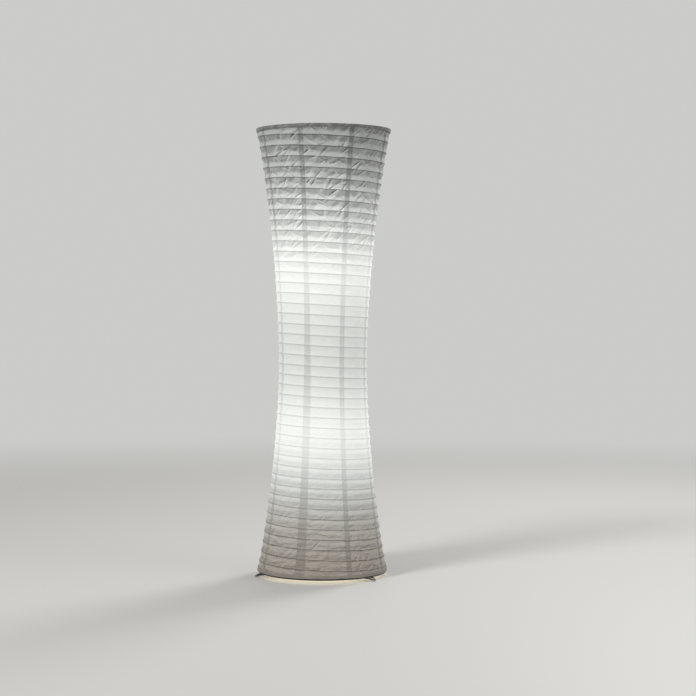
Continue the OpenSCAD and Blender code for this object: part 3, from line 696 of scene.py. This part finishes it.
doubled = 1 - eased(lap, -0.3 * MM, 0.3 * MM)
lower_part = 1 - eased(height, 0.12, 0.50)
from_rib = (turn + 0.03).math("PINGPONG", 0.5) * rib_pitch
# A dark line along each rib: partly the glue under it, partly the wire's painted shadow on the
# paper.
rib_glue_and_shadow_line = 1 - eased(from_rib, 0.7 * MM, lower_part * (1.5 * MM) + 2.2 * MM)
rib_glue_and_shadow_line = rib_glue_and_shadow_line * (1 - doubled * 0.5)
band_share = turn.math("FRACT")
# A painted light strip just above each rib, where the paper faces up.
painted_light_over_rib = eased(band_share, 0.02, 0.07) * (1 - eased(band_share, 0.10, 0.24))
# A painted highlight along the cut edge of each lap, added to the glow.
lap_edge_highlight = 1 - eased(lap.math("ABSOLUTE"), 0.1 * MM, 0.9 * MM)
fibres = cloud(flat, 520, 5.0, (1, 0.35, 1))
mottle = cloud(flat, 60, 4.0)
low = 1 - eased(height, 0.02, 0.27)
creased = eased(height, 0.76, 1.02)
rucked = 1 - eased(height, 0.08, 0.36)
patch = eased(cloud(flat, 14, 2.0), 0.44, 0.56)
rising, falling = facets(1.3, 27, 9), facets(-1.4, 24, 8)
crumple = rising * (1 - patch) + falling * patch
worked = eased(cloud(flat, 26, 2.0), 0.36, 0.60)
sharp = crumple.math("MINIMUM", 0.13) * worked * 2.6
# A painted highlight along each sharp fold, where the paper is worked.
glint = (1 - eased(crumple, 0.01, 0.06)) * worked
rucks = cloud(flat, 78, 2.5, (0.30, 1, 1))
folds = (crumple * 0.8 + sharp) * (creased + rucked * 0.55 + 0.12)
folds = (folds + rucks * (rucked * 1.1 + 0.18)) * (1 - doubled * 0.6)
bumped = relief(folds + fibres * 0.04 + mottle * 0.08, 3.2 * MM)
# Painted light and shade on the facets: one whose bump faces up or left is painted paler than its
# neighbour, as if lit from above and from the left.
smooth = place.node("NewGeometry", {}, {}, out=1)
tilt = bumped.node("VectorMath", {"operation": "SUBTRACT"}, {0: bumped, 1: smooth})
around = place.node("VectorMath", {"operation": "CROSS_PRODUCT"}, {0: (0, 0, 1), 1: place})
around = around.node("VectorMath", {"operation": "NORMALIZE"}, {0: around})
sideways = tilt.node("VectorMath", {"operation": "DOT_PRODUCT"}, {0: tilt, 1: around}, out=1)
upward = tilt.node("SeparateXYZ", {}, {0: tilt}, out=2)
lean = upward * 0.9 - sideways * 0.6
# Painted light and shade in each band where the slack paper bellies: near the top the lower part
# of each band is painted lighter and the upper part darker, and near the foot the upper part
# lighter and the lower part darker.
band_painted_light = creased * (0.26 - eased(band_share, 0.26, 0.54) * 0.60)
uneven = (cloud(flat, 13, 3.0, (1, 2, 1)) - 0.5) * 1.1 + 0.86
band_painted_light = band_painted_light + (eased(band_share, 0.34, 0.94) * uneven - 0.30) * lower_part * 0.84
# The painted highlights along the creases near the top go in here too.
band_painted_light = band_painted_light * (1 - doubled * 0.6) + glint * creased * 0.30

doubled = doubled * (0.36 - glow * 0.36 + creased * 0.10 - low * 0.04)
through = 1 - doubled - rib_glue_and_shadow_line * (rucked * 0.26 + 0.17) + painted_light_over_rib * 0.03 + band_painted_light * 0.6
# The facet lean's painted light and shade, on the glow.
through = through * (mottle * 0.07 + fibres * 0.05 + 0.94) * (lean * (creased * 0.7 + 0.40) + 1)
glow = glow * through * (0.89 + eased(height, 0.14, 0.32) * 0.11) + lap_edge_highlight * 0.015
shade = 1 - doubled - rib_glue_and_shadow_line * (rucked * 0.22 + 0.42) + painted_light_over_rib * 0.08 + band_painted_light
shade = shade * (mottle * 0.10 + fibres * 0.08 + 0.91)
# The facet lean's painted light and shade, on the base colour.
shade = shade * (lean * (creased * 1.3 + rucked * 0.8 + 0.4) + 1)
lit = tint(low, (0.985, 1.0, 0.972, 1), (1.0, 0.905, 0.77, 1))
fibre = tint(low, (0.316, 0.326, 0.312, 1), (0.330, 0.300, 0.262, 1))
black = (0, 0, 0, 1)
lay(paper, {
    "Base Color": tint(shade, black, fibre),
    "Emission Color": tint(glow, black, lit),
    "Roughness": fibres * 0.14 + 0.66,
    "Normal": bumped,
})
for number in range(1, gores + 1):
    gore = gore_piece(number, paper)
    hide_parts(f"paper_gore_{number}")
    fold_with_shade(gore)
    cut_w, cut_l, cut_area = cut_size(number)


# ---- Hems ----
# At each end of the shade the paper is turned in over the wire ring and pasted down inside.
# The turned edge is double paper, so it is darker, and it puckers where the ring curves.
hem_flap = 8.5 * MM
hem_columns = 540
pucker_seed, pucker_r = 4400, 0.1815
single_lap, double_lap = 5 * MM, -1.6 * MM


def hem(name, edge_z, ring_node, inward):
    """A folded strip round a ring. inward is 1 where the shade goes on up, -1 where down."""
    ring_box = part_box(ring_node)
    ring_reach = (ring_box[1][0] - ring_box[0][0]) / 2
    wire_d = ring_box[1][2] - ring_box[0][2]
    inner_r = ring_reach - wire_d - 0.4 * MM
    outer = [(shade_r(edge_z + inward * drop * MM) + paper_t, edge_z + inward * drop * MM)
             for drop in (8.5, 7.0, 5.2, 3.4, 1.6, 0.7)]
    turn_over = [(outer[-1][0] - 0.7 * MM, edge_z), ((outer[-1][0] + inner_r) / 2, edge_z),
                 (inner_r + 0.7 * MM, edge_z)]
    inner = [(inner_r, edge_z + inward * drop * MM) for drop in (0.8, 3.0, 6.0, 9.0)]
    bm = bmesh.new()
    corners = [bm.verts.new((r, 0, z)) for r, z in outer + turn_over + inner]
    edges = [bm.edges.new(pair) for pair in zip(corners, corners[1:])]
    bmesh.ops.spin(bm, geom=corners + edges, cent=(0, 0, 0), axis=(0, 0, 1), angle=math.tau,
                   steps=hem_columns, use_merge=True)
    bmesh.ops.recalc_face_normals(bm, faces=bm.faces[:])
    if sum(face.normal.xy.dot(face.calc_center_median().xy) for face in bm.faces) < 0:
        bmesh.ops.reverse_faces(bm, faces=bm.faces[:])
    piece = new_piece(name, bm, paper)
    at = points_of(piece.data)
    spread = np.hypot(at[:, 0], at[:, 1])
    degrees = np.degrees(np.arctan2(at[:, 1], at[:, 0]))
    flap = np.clip(np.abs(at[:, 2] - edge_z) / hem_flap, 0, 1) * (spread > inner_r + 2 * MM)
    lot = np.random.default_rng(pucker_seed)
    pucker = wave(lot, np.radians(degrees) * pucker_r, (0.0064, 0.0097, 0.0171))
    gathered = 0.25 + 0.75 * np.exp(-(((degrees + 150) % 360 - 20) / 45) ** 2)
    grown = (spread + pucker * gathered * flap * 0.45 * MM) / spread
    at[:, 0], at[:, 1] = at[:, 0] * grown + axis_x, at[:, 1] * grown + axis_y
    at[:, 2] += pucker * flap**2 * 0.5 * MM
    piece.data.vertices.foreach_set("co", at.ravel())
    on_edge = np.abs(at[:, 2] - edge_z) < 1.2 * MM
    mark_paper(piece, at[:, 2], np.radians(degrees) * spread, gores + 1, 0.5,
               np.where(on_edge, single_lap, double_lap))
    thicken(piece)
    line = outer + turn_over + inner
    math.tau * shade_r(edge_z)
    return piece


top_fold = hem("top_hem", shade_top - 0.35 * MM, "top_ring", -1)
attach(top_fold, "frame")
foot_fold = hem("foot_hem", shade_foot + 0.02 * MM, "bottom_ring", 1)
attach(foot_fold, "shade_foot")
